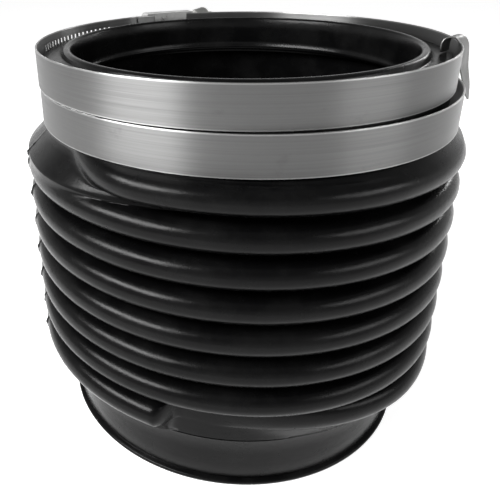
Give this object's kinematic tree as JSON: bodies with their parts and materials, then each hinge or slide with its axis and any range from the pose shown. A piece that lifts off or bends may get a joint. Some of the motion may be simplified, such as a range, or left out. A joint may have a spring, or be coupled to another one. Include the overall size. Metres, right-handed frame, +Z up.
{
  "type": "rubber bellows boot",
  "caption": "Ribbed rubber boot with open ends, two worm-drive clamps seated around its neck and a metal strip hooked over the upper one.",
  "frame": {"origin": "centre of the lower cuff's mouth, on the boot's axis", "axes": "+Z up the boot's axis towards the clamped neck, -Y towards the front"},
  "size_m": [0.1864, 0.1921, 0.1711],
  "materials": {
    "rubber": "satin, moulded",
    "band_steel": "brushed along the band",
    "housing_steel": "pressed stainless steel",
    "screw_steel": "plated steel",
    "strip_steel": "thin stamped strip"
  },
  "bodies": {
    "boot": {"bellows_boot": "rubber", "upper_clamp_band": "band_steel", "upper_clamp_housing": "housing_steel", "lower_clamp_band": "band_steel", "lower_clamp_housing": "housing_steel", "ground_strip": "strip_steel"},
    "upper_screw": {"upper_clamp_screw": "screw_steel"},
    "lower_screw": {"lower_clamp_screw": "screw_steel"}
  },
  "joints": [
    {"name": "upper_screw_turn", "type": "hinge", "parent": "boot", "child": "upper_screw", "pos_m": [-0.04162, 0.08169, 0.16323], "axis": [0.891, 0.454, 0], "continuous": true},
    {"name": "lower_screw_turn", "type": "hinge", "parent": "boot", "child": "lower_screw", "pos_m": [0.0367, 0.08576, 0.14783], "axis": [0.9272, -0.3746, 0], "continuous": true}
  ]
}
